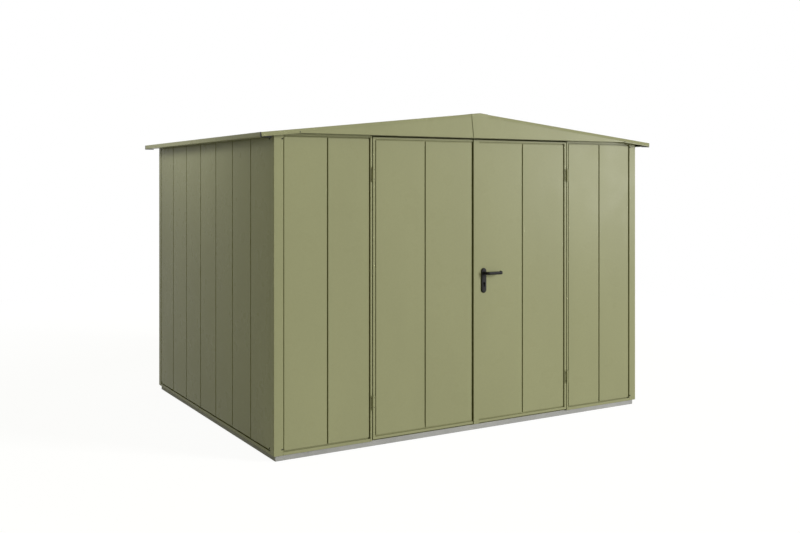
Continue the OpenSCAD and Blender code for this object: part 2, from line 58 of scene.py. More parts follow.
cam_data = bpy.data.cameras.new("camera")
cam_data.sensor_width = 36.0
cam_data.lens = 42.35
cam_data.shift_x = 0.01356
cam_data.shift_y = -0.1055
cam = bpy.data.objects.new("camera", cam_data)
cam.location = (-3.8074, -6.5064, 1.7151)
cam.rotation_euler = (math.radians(90), 0, math.radians(-30.355))
scene.collection.objects.link(cam)
scene.camera = cam

# ---- Materials ----


class Nodes:
    """Short forms for building a node material."""

    def __init__(self, name):
        self.mat = bpy.data.materials.new(name)
        self.mat.use_nodes = True
        self.tree = self.mat.node_tree
        self.bsdf = self.tree.nodes["Principled BSDF"]

    def add(self, kind, inputs=None, **props):
        n = self.tree.nodes.new("ShaderNode" + kind)
        for key, value in props.items():
            setattr(n, key, value)
        for key, value in (inputs or {}).items():
            self.put(value, n.inputs[key])
        return n

    def put(self, value, socket):
        """Links an output, or sets a plain value."""
        if hasattr(value, "is_output"):
            self.tree.links.new(value, socket)
        else:
            socket.default_value = value

    def coords(self, scale=(1, 1, 1)):
        """Place on the object, in metres, each axis scaled."""
        tc = self.add("TexCoord")
        mp = self.add("Mapping", {"Vector": tc.outputs["Object"], "Scale": scale})
        return mp.outputs["Vector"]

    def noise(self, vector, scale, detail=2.0, rough=0.5):
        n = self.add("TexNoise", {"Vector": vector, "Scale": scale, "Detail": detail, "Roughness": rough})
        return n.outputs["Fac"]

    def ramp(self, fac, stops):
        n = self.add("ValToRGB", {"Fac": fac})
        while len(n.color_ramp.elements) < len(stops):
            n.color_ramp.elements.new(0.5)
        for e, (at, colour) in zip(n.color_ramp.elements, stops):
            e.position = at
            e.color = (*colour, 1)
        return n.outputs["Color"]

    def spread(self, fac, low, high, start=0.3, end=0.7):
        """Maps a value from start..end to low..high."""
        ends = {"From Min": start, "From Max": end, "To Min": low, "To Max": high}
        return self.add("MapRange", {"Value": fac, **ends}).outputs["Result"]

    def times(self, colour, factor):
        """Colour times a grey value."""
        n = self.add("VectorMath", operation="SCALE")
        self.put(colour, n.inputs[0])
        self.put(factor, n.inputs["Scale"])
        return n.outputs["Vector"]

    def math(self, op, a, b):
        n = self.add("Math", operation=op)
        self.put(a, n.inputs[0])
        self.put(b, n.inputs[1])
        return n.outputs[0]

    def bump(self, *heights):
        """Bumps on top of each other: (height, strength, distance in metres)."""
        normal = None
        for height, strength, distance in heights:
            n = self.add("Bump", {"Height": height, "Strength": strength, "Distance": distance})
            if normal is not None:
                self.put(normal, n.inputs["Normal"])
            normal = n.outputs["Normal"]
        self.put(normal, self.bsdf.inputs["Normal"])


# Painted shade in a fold: how much of each colour is left, and how far from its walls it darkens
FOLD_PAINTED_SHADE = (0.58, 0.57, 0.36)
FOLD_SHADE_REACH = 0.02
WAVE_HEIGHT, SKIN_HEIGHT = 0.002, 0.0002


def paint(name, colour, gloss, specular):
    """Powder paint on folded sheet: faint unevenness, painted shade in the folds, a fine skin."""
    m = Nodes(name)
    p = m.coords()
    broad = m.noise(m.coords((1, 1, 0.35)), 2.2, 3)
    fine = m.noise(p, 60, 3, 0.6)
    shade = m.math("MULTIPLY", m.spread(broad, 0.965, 1.03), m.spread(fine, 0.985, 1.015))
    # painted shade: the colour turns darker and more olive where other surfaces are near, in grooves, gaps and
    # under the fascia
    fold = m.add("AmbientOcclusion", {"Distance": FOLD_SHADE_REACH}, samples=6, only_local=False)
    deep = [c * k for c, k in zip(colour, FOLD_PAINTED_SHADE)]
    tone = m.ramp(fold.outputs["AO"], [(0.1, deep), (0.75, colour)])
    m.put(m.times(tone, shade), m.bsdf.inputs["Base Color"])
    m.put(m.spread(m.noise(p, 5, 3), gloss - 0.02, gloss + 0.03), m.bsdf.inputs["Roughness"])
    m.put(specular, m.bsdf.inputs["Specular IOR Level"])
    skin = m.noise(p, 900, 2)
    wave = m.noise(m.coords((1, 1, 0.4)), 5, 1)
    m.bump((wave, 0.05, WAVE_HEIGHT), (skin, 0.03, SKIN_HEIGHT))
    return m.mat


CONCRETE_DARK, CONCRETE_LIGHT = (0.3, 0.3, 0.302), (0.385, 0.385, 0.387)
SPECK_HEIGHT, PORE_HEIGHT = 0.001, 0.002


def concrete():
    """Cast concrete: cloudy grey, specks and small pores."""
    m = Nodes("concrete")
    p = m.coords()
    cloud = m.noise(p, 3.0, 5, 0.6)
    speck = m.noise(p, 240, 3, 0.7)
    pores = m.add("TexVoronoi", {"Vector": p, "Scale": 110.0}, feature="F1")
    base = m.ramp(cloud, [(0.3, CONCRETE_DARK), (0.7, CONCRETE_LIGHT)])
    # painted shade: the pores darken towards their middles, where the bump sinks them
    pore_painted_shade = m.spread(pores.outputs["Distance"], 0.72, 1.0, 0.05, 0.25)
    shade = m.math("MULTIPLY", m.spread(speck, 0.88, 1.08), pore_painted_shade)
    m.put(m.times(base, shade), m.bsdf.inputs["Base Color"])
    m.put(m.spread(speck, 0.8, 0.95), m.bsdf.inputs["Roughness"])
    m.bump((speck, 0.35, SPECK_HEIGHT), (pores.outputs["Distance"], 0.3, PORE_HEIGHT))
    return m.mat


def dark_finish(name, colour, gloss, specular):
    """Dark plastic or lacquer with a fine grain."""
    m = Nodes(name)
    p = m.coords()
    grain = m.noise(p, 1500, 2)
    m.put(m.times(colour, m.spread(m.noise(p, 40, 3), 0.9, 1.12)), m.bsdf.inputs["Base Color"])
    m.put(m.spread(grain, gloss - 0.04, gloss + 0.06), m.bsdf.inputs["Roughness"])
    m.put(specular, m.bsdf.inputs["Specular IOR Level"])
    m.bump((grain, 0.12, SKIN_HEIGHT))
    return m.mat


ZINC = (0.56, 0.57, 0.58)


def zinc():
    """Plated steel, faintly spangled and drawn across its height."""
    m = Nodes("zinc")
    p = m.coords()
    spangle = m.add("TexVoronoi", {"Vector": p, "Scale": 160.0}, feature="F1")
    drawn = m.noise(m.coords((1, 1, 30)), 50, 2)
    flakes = m.spread(spangle.outputs["Distance"], 0.92, 1.05, 0.0, 0.6)
    shade = m.math("MULTIPLY", flakes, m.spread(drawn, 0.94, 1.04))
    m.put(m.times(ZINC, shade), m.bsdf.inputs["Base Color"])
    m.put(m.spread(drawn, 0.3, 0.44), m.bsdf.inputs["Roughness"])
    m.put(1.0, m.bsdf.inputs["Metallic"])
    m.bump((drawn, 0.08, SKIN_HEIGHT))
    return m.mat


OLIVE = (0.286, 0.290, 0.171)
# The door header is a darker copy of the olive paint: painted shade for the dark gap above the door leaves
HEADER_PAINTED_SHADE = 0.3
# Each finish: name, colour, roughness and specular level
paint_mat = paint("olive_paint", OLIVE, 0.28, 0.045)
roof_mat = paint("roof_paint", OLIVE, 0.75, 0.02)
header_painted_shade_mat = paint("header_painted_shade", [c * HEADER_PAINTED_SHADE for c in OLIVE], 0.5, 0.03)
plastic_mat = dark_finish("black_plastic", (0.014, 0.0135, 0.014), 0.45, 0.09)
screw_mat = dark_finish("dark_screw", (0.045, 0.046, 0.032), 0.4, 0.2)
# The lock cylinder is near black with no reflection: painted shade standing for the dark of the keyhole
lock_hole_shade_mat = dark_finish("lock_hole_shade", (0.003, 0.003, 0.003), 0.8, 0.0)

SLOT_MATS = {
    "wall_paint": paint_mat,
    "concrete": concrete(),
    "black_plastic": plastic_mat,
    "zinc": zinc(),
}

# ---- Mesh tools ----

# Points of the imported mesh closer than this are one point
WELD = 0.00002
# Thickness of the sheet, and the flats that make up a bend
SHEET = 0.0012
BEND_STEPS = 3
# Edges that turn more than this are hard edges
SHARP = math.radians(40)


class Place:
    """A face of the shed: u runs along it, v up it and w inwards from it."""

    def __init__(self, origin, u, v, w):
        self.origin = Vector(origin)
        self.u, self.v, self.w = Vector(u), Vector(v), Vector(w)

    def out(self, u, v, w):
        return self.origin + self.u * u + self.v * v + self.w * w

    def into(self, p):
        d = p - self.origin
        return Vector((d.dot(self.u), d.dot(self.v), d.dot(self.w)))

    def moved(self, u, v, w):
        return Place(self.out(u, v, w), self.u, self.v, self.w)


def join_rings(bm, a, b):
    """Quads between two rings of points."""
    for i in range(len(a)):
        j = (i + 1) % len(a)
        bm.faces.new((a[i], a[j], b[j], b[i]))


def ring_solid(bm, rings):
    """Joins rings of points into a solid and caps its ends."""
    made = [[bm.verts.new(p) for p in ring] for ring in rings]
    for a, b in zip(made, made[1:]):
        join_rings(bm, a, b)
    bm.faces.new(made[0])
    bm.faces.new(list(reversed(made[-1])))


def rect_ring(place, rect, inset, w):
    """A rectangle's corners, drawn in from its edges, at one depth."""
    u0, u1, v0, v1 = rect
    left, right, low, high = u0 + inset, u1 - inset, v0 + inset, v1 - inset
    return [place.out(u, v, w) for u, v in ((left, low), (right, low), (right, high), (left, high))]


def add_box(bm, place, rect, w0, w1):
    ring_solid(bm, [rect_ring(place, rect, 0, w0), rect_ring(place, rect, 0, w1)])


def add_tray(bm, place, rect, depth, radius):
    """Tray of folded sheet: its face at w = 0, four folds inwards, the bends rounded."""
    turns = [k * math.pi / 2 / BEND_STEPS for k in range(BEND_STEPS + 1)]
    small = radius - SHEET
    outer = [(radius * (1 - math.sin(a)), radius * (1 - math.cos(a))) for a in turns]
    inner = [(SHEET + small * (1 - math.sin(a)), SHEET + small * (1 - math.cos(a))) for a in turns]
    steps = outer + [(0, depth), (SHEET, depth)] + inner[::-1]
    ring_solid(bm, [rect_ring(place, rect, inset, w) for inset, w in steps])


def left_of(d):
    return Vector((-d.y, d.x))


def rounded(points, radius, steps=BEND_STEPS):
    """An open path with its corners rounded: pairs of a point and the path's normal there."""
    pts = [Vector(p) for p in points]
    made = [(pts[0], left_of((pts[1] - pts[0]).normalized()))]
    for before, p, after in zip(pts, pts[1:], pts[2:]):
        d0, d1 = (p - before).normalized(), (after - p).normalized()
        turn = math.atan2(d0.x * d1.y - d0.y * d1.x, d0.dot(d1))
        side = math.copysign(1, turn)
        reach = min(radius * math.tan(abs(turn) / 2), 0.49 * min((p - before).length, (after - p).length))
        r = reach / math.tan(abs(turn) / 2)
        centre = p - d0 * reach + left_of(d0) * r * side
        for k in range(steps + 1):
            n = left_of(d0)
            n.rotate(Matrix.Rotation(turn * k / steps, 2))
            made.append((centre - n * r * side, n))
    made.append((pts[-1], left_of((pts[-1] - pts[-2]).normalized())))
    return made


def add_folded(bm, place, points, start, end, radius):
    """Folded sheet: a path in u and w, with rounded bends, drawn out along v."""
    path = rounded(points, radius)
    loop = [p + n * SHEET / 2 for p, n in path] + [p - n * SHEET / 2 for p, n in reversed(path)]
    ring_solid(bm, [[place.out(q.x, v, q.y) for q in loop] for v in (start, end)])


def add_lathe(bm, place, profile, segments):
    """Turned shape about w: profile is a list of (radius, w)."""
    turns = [2 * math.pi * k / segments for k in range(segments)]
    ring_solid(bm, [[place.out(r * math.cos(a), r * math.sin(a), w) for a in turns] for r, w in profile])


def solids_of(node):
    """The points of each separate solid of a CAD node."""
    bm = bmesh.new()
    bm.from_mesh(nodes[node].data)
    bmesh.ops.remove_doubles(bm, verts=bm.verts, dist=WELD)
    seen, solids = set(), []
    for first in bm.verts:
        if first in seen:
            continue
        seen.add(first)
        group, todo = [], [first]
        while todo:
            v = todo.pop()
            group.append(v.co.copy())
            for e in v.link_edges:
                other = e.other_vert(v)
                if other not in seen:
                    seen.add(other)
                    todo.append(other)
        solids.append(group)
    bm.free()
    return solids


def spans(points):
    """Lowest and highest value of each coordinate."""
    return [(min(c), max(c)) for c in zip(*points)]


def face_of(local):
    """How far in a folded panel's face lies, and the face's span along u and along v."""
    w_face = min(q.z for q in local)
    across, up, _ = spans([q for q in local if q.z < w_face + SHEET / 2])
    return w_face, across, up


def make_piece(name, bm, body, mat, weighted=True):
    """Turns the mesh into a smooth-shaded piece that rides on a body."""
    bmesh.ops.recalc_face_normals(bm, faces=bm.faces)
    mesh = bpy.data.meshes.new(name)
    bm.to_mesh(mesh)
    bm.free()
    mesh.polygons.foreach_set("use_smooth", [True] * len(mesh.polygons))
    mesh.set_sharp_from_angle(angle=SHARP)
    mesh.materials.append(mat)
    obj = bpy.data.objects.new(name, mesh)
    scene.collection.objects.link(obj)
    if weighted:
        flat = obj.modifiers.new("flat", "WEIGHTED_NORMAL")
        flat.keep_sharp = True
    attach(obj, body)
    return obj


# ---- CAD nodes: finish and rounded edges ----


def soften(node, width):
    """Welds the imported mesh and rounds its edges."""
    cad = nodes[node]
    weld = cad.modifiers.new("weld", "WELD")
    weld.merge_threshold = WELD
    bevel = cad.modifiers.new("bevel", "BEVEL")
    bevel.width = width
    bevel.segments = 2
    bevel.limit_method = "ANGLE"
    bevel.angle_limit = SHARP
    cad.data.polygons.foreach_set("use_smooth", [True] * len(cad.data.polygons))
    cad.modifiers.new("flat", "WEIGHTED_NORMAL")


for part in frame["record"]["subparts"]:
    cad = nodes[part["node"]]
    cad.data.materials.clear()
    cad.data.materials.append(SLOT_MATS[part["material_slot"]])
# painted shade: the lock cylinder takes the near-black, unreflecting finish
nodes["lock_cylinder"].data.materials[0] = lock_hole_shade_mat
# painted shade: the header takes the darker copy of the paint
nodes["door_header"].data.materials[0] = header_painted_shade_mat
nodes["ridge_cap"].data.materials[0] = roof_mat

# Width of the rounded edges, and the nodes that have it
SOFT_EDGES = {
    0.003: ["base_slab"],
    0.0008: ["left_door_frame", "right_door_frame", "eave_end_caps", "frame_hinges", "left_door_hinges",
             "right_door_hinges", "lock_case", "left_door_bolts"],
    0.0005: ["door_sill", "door_header", "front_left_rails", "front_right_rails", "left_wall_rails",
             "right_wall_rails", "back_wall_rails", "front_gable_panel", "back_gable_panel", "front_fascia",
             "back_fascia", "fascia_covers", "ridge_cap", "left_eave_trim", "right_eave_trim", "roof_beams",
             "right_door_strip"],
}
for width, names in SOFT_EDGES.items():
    for node in names:
        soften(node, width)

# ---- Walls ----

# Clearance between two sheets, and the outer radius of a bend
SEAM = 0.0003
BEND = 0.0022

leaf_lo, leaf_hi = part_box("left_door_panels")
GROOVE_DEEP = leaf_hi.y - leaf_lo.y

post_lo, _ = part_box("front_left_post")
WALL_X, WALL_Y = -post_lo.x, -post_lo.y

FRONT = Place((0, -WALL_Y, 0), X, Z, Y)
BACK = Place((0, WALL_Y, 0), -X, Z, -Y)
LEFT = Place((-WALL_X, 0, 0), -Y, Z, X)
RIGHT = Place((WALL_X, 0, 0), Y, Z, -X)


def wall_panels(node, place):
    """Folded wall panels in place of a CAD row: trays with their tongues and tails."""
    bm = bmesh.new()
    for solid in solids_of(node):
        local = [place.into(p) for p in solid]
        (u_min, u_max), (v_min, v_max), (_, w_max) = spans(local)
        w_face, (u0, u1), (v0, v1) = face_of(local)
        add_tray(bm, place.moved(0, 0, w_face), (u0, u1, v0, v1), GROOVE_DEEP, BEND)
        back = (w_face + GROOVE_DEEP - SHEET, w_face + GROOVE_DEEP)
        add_box(bm, place, (u0, u1, v_min, v0 + SHEET), *back)
        add_box(bm, place, (u0, u1, v1 - SHEET, v_max), *back)
        tail = (u1 - SHEET, u_max) if u_max - u1 > u0 - u_min else (u_min, u0 + SHEET)
        add_box(bm, place, (*tail, v_min, v_max), *back)
        for u in (u0, u1 - SHEET):
            add_box(bm, place, (u, u + SHEET, v0, v1), back[1], w_max)
    obj = make_piece(node + "_folded", bm, "shed", paint_mat)
    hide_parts(node)


WALLS = {
    "front_left_panels": FRONT,
    "front_right_panels": FRONT,
    "left_wall_panels": LEFT,
    "right_wall_panels": RIGHT,
    "back_wall_panels": BACK,
}
for node, place in WALLS.items():
    wall_panels(node, place)


def corner_post(node, sx, sy):
    """Corner post of folded sheet; sx and sy say which corner."""
    place = Place((sx * WALL_X, sy * WALL_Y, 0), (-sx, 0, 0), Z, (0, -sy, 0))
    local = [place.into(p) for p in solids_of(node)[0]]
    (_, u_max), (v0, v1), (_, w_max) = spans(local)
    flange = max(q.x for q in local if q.z < SHEET / 2)
    half = SHEET / 2
    path = [(flange - half, GROOVE_DEEP), (flange - half, half), (half, half), (half, w_max)]
    if sy > 0:
        path[-1] = (half, w_max - half)
        path.append((GROOVE_DEEP, w_max - half))
    bm = bmesh.new()
    add_folded(bm, place, path, v0, v1, BEND - half)
    if u_max - flange > SHEET:
        rect = (flange - half, u_max, v0 + SHEET + SEAM, v1 - SHEET - SEAM)
        add_box(bm, place, rect, GROOVE_DEEP - SHEET, GROOVE_DEEP)
    obj = make_piece(node + "_folded", bm, "shed", paint_mat)
    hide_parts(node)


corner_post("front_left_post", -1, -1)
corner_post("front_right_post", 1, -1)
corner_post("back_left_post", -1, 1)
corner_post("back_right_post", 1, 1)


def door_jamb(node, side):
    """Jamb: a folded channel with the stop behind it."""
    lo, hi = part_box(node)
    outer = max(abs(lo.x), abs(hi.x))
    place = Place((side * outer, -WALL_Y, 0), (-side, 0, 0), Z, Y)
    local = [place.into(p) for p in solids_of(node)[0]]
    (_, u_max), (v0, v1), (_, w_max) = spans(local)
    face = max(q.x for q in local if q.z < SHEET / 2)
    half = SHEET / 2
    path = [(half, w_max), (half, half), (face - half, half), (face - half, w_max)]
    bm = bmesh.new()
    add_folded(bm, place, path, v0, v1, BEND - half)
    add_box(bm, place, (0, u_max, v0, v1), w_max - SHEET, w_max)
    obj = make_piece(node + "_folded", bm, "shed", paint_mat)
    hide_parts(node)


door_jamb("left_door_jamb", -1)
door_jamb("right_door_jamb", 1)

# ---- Door leaves ----


def leaf_panels(node, body):
    """The trays of a door leaf; their folds beside the middle groove are deeper."""
    bm = bmesh.new()
    for solid in solids_of(node):
        local = [FRONT.into(p) for p in solid]
        w_face, (u0, u1), (v0, v1) = face_of(local)
        add_tray(bm, FRONT.moved(0, 0, w_face), (u0, u1, v0, v1), GROOVE_DEEP - w_face, BEND)
        (a, b), (low, high), (_, w_max) = spans([q for q in local if q.z > GROOVE_DEEP + SEAM])
        fold = u1 - SHEET if b > (u0 + u1) / 2 else u0
        add_box(bm, FRONT, (fold, fold + SHEET, low, high), GROOVE_DEEP, w_max)
        if b - a > 2 * SHEET:
            add_box(bm, FRONT, (a, b, low, high), w_max - SHEET, w_max)
    obj = make_piece(node + "_folded", bm, body, paint_mat)
    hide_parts(node)


leaf_panels("left_door_panels", "left_door")
leaf_panels("right_door_panels", "right_door")

# ---- Roof ----

ROOF_T = 0.010
ROOF_BEND = 0.003
# How far short of the trays' depth the tails lie
LAP_DROP = 0.001


def roof_panels(node, side):
    """Roof trays of one slope, with the deeper folds along the verges."""
    bm = bmesh.new()
    solids = solids_of(node)
    tops = [max(solid, key=lambda p: p.z) for solid in solids]
    ridge = max(tops, key=lambda p: p.z)
    lows = [p for solid in solids for p in solid]
    eave = max(lows, key=lambda p: side * p.x + p.z)
    down = Vector((eave.x - ridge.x, 0, eave.z - ridge.z)).normalized()
    inward = Vector((-side * abs(down.z), 0, -abs(down.x)))
    place = Place(ridge, Y, down, inward)
    place.origin.y = 0
    for solid in solids:
        local = [place.into(p) for p in solid]
        (u_min, u_max), (v_min, v_max), (_, w_max) = spans(local)
        (u0, u1), (v0, v1), _ = spans([q for q in local if q.z < SHEET / 2])
        add_tray(bm, place, (u0, u1, v0, v1), ROOF_T, ROOF_BEND)
        if u_max - u1 > 2 * SHEET:
            lap = ROOF_T - LAP_DROP
            add_box(bm, place, (u1 - SHEET, u_max, v0, v1), lap - SHEET, lap)
        if w_max > ROOF_T + SHEET:
            edge = u0 if abs(u0) > abs(u1) else u1 - SHEET
            add_box(bm, place, (edge, edge + SHEET, v0, v1), ROOF_T, w_max)
    obj = make_piece(node + "_folded", bm, "shed", roof_mat)
    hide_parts(node)


roof_panels("left_roof_panels", -1)
roof_panels("right_roof_panels", 1)

# ---- Screws ----

# A screw and its washer, from the back to the recess in the head: radius and depth
SCREW = [(0.0001, 0.001), (0.0052, 0.001), (0.0052, -0.0006), (0.0040, -0.0010), (0.0040, -0.0024),
         (0.0031, -0.0034), (0.0017, -0.0037), (0.0015, -0.0022), (0.0001, -0.0022)]
SCREW_SIDES = 14


def screws(name, body, spots, scale=1.0):
    """Pan-head screws on washers; each spot is a place and its u and v."""
    bm = bmesh.new()
    profile = [(r * scale, w * scale) for r, w in SCREW]
    for place, u, v in spots:
        add_lathe(bm, place.moved(u, v, 0), profile, SCREW_SIDES)
    make_piece(name, bm, body, screw_mat, weighted=False)


# The posts' screws: in from the corner along the front and along the side, and their heights
FRONT_SCREW_IN, SIDE_SCREW_IN = 0.056, 0.068
POST_SCREW_LOW, POST_SCREW_HIGH = 0.073, 1.982
spots = []
for z in (POST_SCREW_LOW, POST_SCREW_HIGH):
    for side in (-1, 1):
        for wall in (FRONT, BACK):
            spots.append((wall, side * (WALL_X - FRONT_SCREW_IN), z))
        for wall in (LEFT, RIGHT):
            spots.append((wall, side * (WALL_Y - SIDE_SCREW_IN), z))
screws("post_screws", "shed", spots)

FASCIA_OUT = -WALL_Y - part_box("front_fascia")[0].y
# Each fascia's two screws, near the kink in its lower edge
KINK_X, KINK_Z = 1.355, 2.024
FASCIA_SCREW_SCALE = 0.85
for wall, name in ((FRONT, "front_fascia_screws"), (BACK, "back_fascia_screws")):
    face = wall.moved(0, 0, -FASCIA_OUT)
    screws(name, "shed", [(face, -KINK_X, KINK_Z), (face, KINK_X, KINK_Z)], FASCIA_SCREW_SCALE)

PIN_X = abs(frame["joints"][0]["pos_m"][0])
HINGE_SCREW_IN = 0.0062
HINGE_SCREW_Z = 0.031
HINGE_SCREW_SCALE = 0.5
HINGE_T = 0.0025


def hinge_screws(node, body):
    """Two small screws in the plate of each hinge half."""
    face = FRONT.moved(0, 0, -HINGE_T)
    spots = []
    for solid in solids_of(node):
        (x0, x1), _, (z0, z1) = spans(solid)
        pin = math.copysign(PIN_X, x0)
        x = x0 + HINGE_SCREW_IN if abs(x0 - pin) > abs(x1 - pin) else x1 - HINGE_SCREW_IN
        spots += [(face, x, (z0 + z1) / 2 + dz) for dz in (-HINGE_SCREW_Z, HINGE_SCREW_Z)]
    screws(node + "_screws", body, spots, HINGE_SCREW_SCALE)


hinge_screws("frame_hinges", "shed")
hinge_screws("left_door_hinges", "left_door")
hinge_screws("right_door_hinges", "right_door")

# ---- Handle ----

plates_lo, plates_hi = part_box("handle_plates")
lever_lo, lever_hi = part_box("lever_handle")
cylinder_lo, cylinder_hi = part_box("lock_cylinder")
PLATE_T = 0.008
PLATE_R = (plates_hi.x - plates_lo.x) / 2
# The plate's rounded rim: how far in from its outline, and how high
PLATE_CROWN = [(0.0, 0.0), (0.0, 0.0042), (0.0005, 0.0056), (0.0016, 0.0066), (0.0036, 0.0073),
               (0.0075, 0.0078), (0.0118, 0.0080)]
CYLINDER_R, CYLINDER_LEG_R = 0.0085, 0.005
HOLE_GAP = 0.0003
HOLE_SIDES = 20
SPINDLE_R = 0.005
SPINDLE_X = (plates_lo.x + plates_hi.x) / 2
SPINDLE_Z = (lever_lo.z + lever_hi.z) / 2
CYLINDER_Z = cylinder_hi.z - CYLINDER_R
LEG_Z = cylinder_lo.z + CYLINDER_LEG_R
# Outside and inside: the plate's face, the way out, and the lever's outermost y
FACES = ((plates_lo.y, -Y, lever_lo.y), (plates_hi.y, Y, lever_hi.y))


def arc(centre, r, start, end, steps=12):
    """Points in u and v on a circle's arc, from one angle to another, in degrees."""
    angles = [math.radians(start + (end - start) * k / steps) for k in range(steps + 1)]
    return [(centre[0] + r * math.cos(a), centre[1] + r * math.sin(a)) for a in angles]


def handle_plates():
    """Long plates with round ends, softly crowned, pierced for the spindle and the lock."""
    bm = bmesh.new()
    ends = (plates_hi.z - PLATE_R, plates_lo.z + PLATE_R)
    r, leg_r = CYLINDER_R + HOLE_GAP, CYLINDER_LEG_R + HOLE_GAP
    meet = math.degrees(math.acos(leg_r / r))
    lock_hole = arc((0, CYLINDER_Z), r, -meet, 180 + meet, HOLE_SIDES)
    lock_hole += arc((0, LEG_Z), leg_r, 180, 360)
    last_turn = 360 - 360 / HOLE_SIDES
    spindle_hole = arc((0, SPINDLE_Z), SPINDLE_R + HOLE_GAP, 0, last_turn, HOLE_SIDES - 1)
    for face_y, out, _ in FACES:
        place = Place((SPINDLE_X, face_y - out.y * PLATE_T, 0), X, Z, out)
        rings = []
        for inset, w in PLATE_CROWN:
            end_r = PLATE_R - inset
            outline = arc((0, ends[0]), end_r, 0, 180) + arc((0, ends[1]), end_r, 180, 360)
            rings.append([bm.verts.new(place.out(u, v, w)) for u, v in outline])
        for hole in (lock_hole, spindle_hole):
            rings.append([bm.verts.new(place.out(u, v, 0)) for u, v in hole])
            rings.append([bm.verts.new(place.out(u, v, PLATE_T)) for u, v in hole])
        plate, holes = rings[:len(PLATE_CROWN)], rings[len(PLATE_CROWN):]
        walls = list(zip(plate, plate[1:])) + [(holes[0], holes[1]), (holes[2], holes[3])]
        for a, b in walls:
            join_rings(bm, a, b)
        for rims in ((plate[0], holes[0], holes[2]), (plate[-1], holes[1], holes[3])):
            edges = [bm.edges.get((a, b)) for rim in rims for a, b in zip(rim, rim[1:] + rim[:1])]
            bmesh.ops.triangle_fill(bm, edges=edges, use_beauty=True)
    plates = make_piece("handle_plates_crowned", bm, "right_door", plastic_mat)
    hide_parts("handle_plates")


LEVER_TIP_R = 0.0065
LEVER_LONG = lever_hi.x - SPINDLE_X - LEVER_TIP_R
LEVER_ROOT = 0.003
LEVER_RETURN = 0.0265
LEVER_BEND = 0.013
LEVER_BEND_STEPS = 6
LEVER_RISE = 0.0002
LEVER_STEP = 0.009
LEVER_SIDES = 20
# Share of the lever's length where its end starts to rise
LIFT_FROM = 0.6
# Along the lever: share of its length, half its thickness, half its height, squareness
LEVER_FORM = [(0.0, 0.0085, 0.0085, 2.0), (0.1, 0.0078, 0.0090, 2.2), (0.2, 0.0064, 0.0104, 2.6),
              (0.8, 0.0062, 0.0112, 2.6), (1.0, 0.0063, 0.0118, 2.5)]
# The lever's closed end: how far past the path's end, and the section's scale
LEVER_TIP = [(0.0015, 0.95), (0.003, 0.8), (0.0042, 0.5), (0.0047, 0.02)]
# The round collar at the lever's root: radius and height above the plate
COLLAR = [(0.0001, 0.0006), (0.0105, 0.0006), (0.011, 0.0012), (0.011, 0.0045), (0.0102, 0.0056),
          (0.0088, 0.006), (0.0001, 0.006)]
COLLAR_SIDES = 24


def form_at(share):
    """The lever's section at a share of its length."""
    for (s0, *low), (s1, *high) in zip(LEVER_FORM, LEVER_FORM[1:]):
        if share <= s1:
            t = (share - s0) / (s1 - s0)
            return [a + (b - a) * t for a, b in zip(low, high)]
    return LEVER_FORM[-1][1:]


def lever_ring(place, point, normal, rise, scale, form):
    """A rounded section across the lever's path, which runs in u and w."""
    thick, high, square = form
    ring = []
    for k in range(LEVER_SIDES):
        turn = 2 * math.pi * k / LEVER_SIDES
        c, s = math.cos(turn), math.sin(turn)
        side = math.copysign(abs(c) ** (2 / square), c) * thick * scale
        up = math.copysign(abs(s) ** (2 / square), s) * high * scale
        ring.append(place.out(point.x + normal.x * side, rise + up, point.y + normal.y * side))
    return ring


def lever():
    """Outside and inside lever on one spindle: a neck, a flattened grip and a bent-back end."""
    bm = bmesh.new()
    for face_y, out, tip_y in FACES:
        place = Place((SPINDLE_X, face_y, SPINDLE_Z), X, Z, out)
        reach = abs(tip_y - face_y) - LEVER_FORM[2][1]
        corners = [(0, LEVER_ROOT), (0, reach), (LEVER_LONG, reach), (LEVER_LONG, reach - LEVER_RETURN)]
        path = rounded(corners, LEVER_BEND, LEVER_BEND_STEPS)
        fine = [path[0]]
        for (p, n), (q, m) in zip(path, path[1:]):
            count = max(1, round((q - p).length / LEVER_STEP))
            fine += [(p.lerp(q, k / count), n.lerp(m, k / count)) for k in range(1, count + 1)]
        long = sum((q - p).length for (p, _), (q, _) in zip(fine, fine[1:]))
        rings, gone, last = [], 0.0, fine[0][0]
        for p, n in fine:
            gone += (p - last).length
            last = p
            lift = min(1, max(0, (p.x / LEVER_LONG - LIFT_FROM) / (1 - LIFT_FROM)))
            rings.append(lever_ring(place, p, n, LEVER_RISE * lift * lift, 1, form_at(gone / long)))
        ahead = Vector((0, -1))
        for step, scale in LEVER_TIP:
            rings.append(lever_ring(place, last + ahead * step, fine[-1][1], LEVER_RISE, scale, form_at(1)))
        ring_solid(bm, rings)
        add_lathe(bm, place, COLLAR, COLLAR_SIDES)
    through = Place((SPINDLE_X, plates_lo.y, SPINDLE_Z), X, Z, Y)
    depth = plates_hi.y - plates_lo.y
    spindle = [(0.0001, 0), (SPINDLE_R, 0), (SPINDLE_R, depth), (0.0001, depth)]
    add_lathe(bm, through, spindle, HOLE_SIDES)
    piece = make_piece("lever_rounded", bm, "lever", plastic_mat)
    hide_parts("lever_handle")


handle_plates()
lever()

# ---- Stage ----

FLOOR_SIZE = 200
FLOOR_DROP = 0.001
FLOOR_GREY = (0.8, 0.8, 0.8, 1)
# Where it is seen, the floor glows: near the shed its glow has this share and strength, which both
# turn to 1 between the two distances from the middle
GLOW_SHARE, GLOW_STRENGTH = 0.8, 1.16
GLOW_NEAR, GLOW_FAR = 3.0, 8.0
# The light from all round, where it isn't seen directly
WORLD_LEVEL = 0.28
WORLD_TINT = (1.0, 0.985, 0.58, 1)
WHITE = (1, 1, 1, 1)


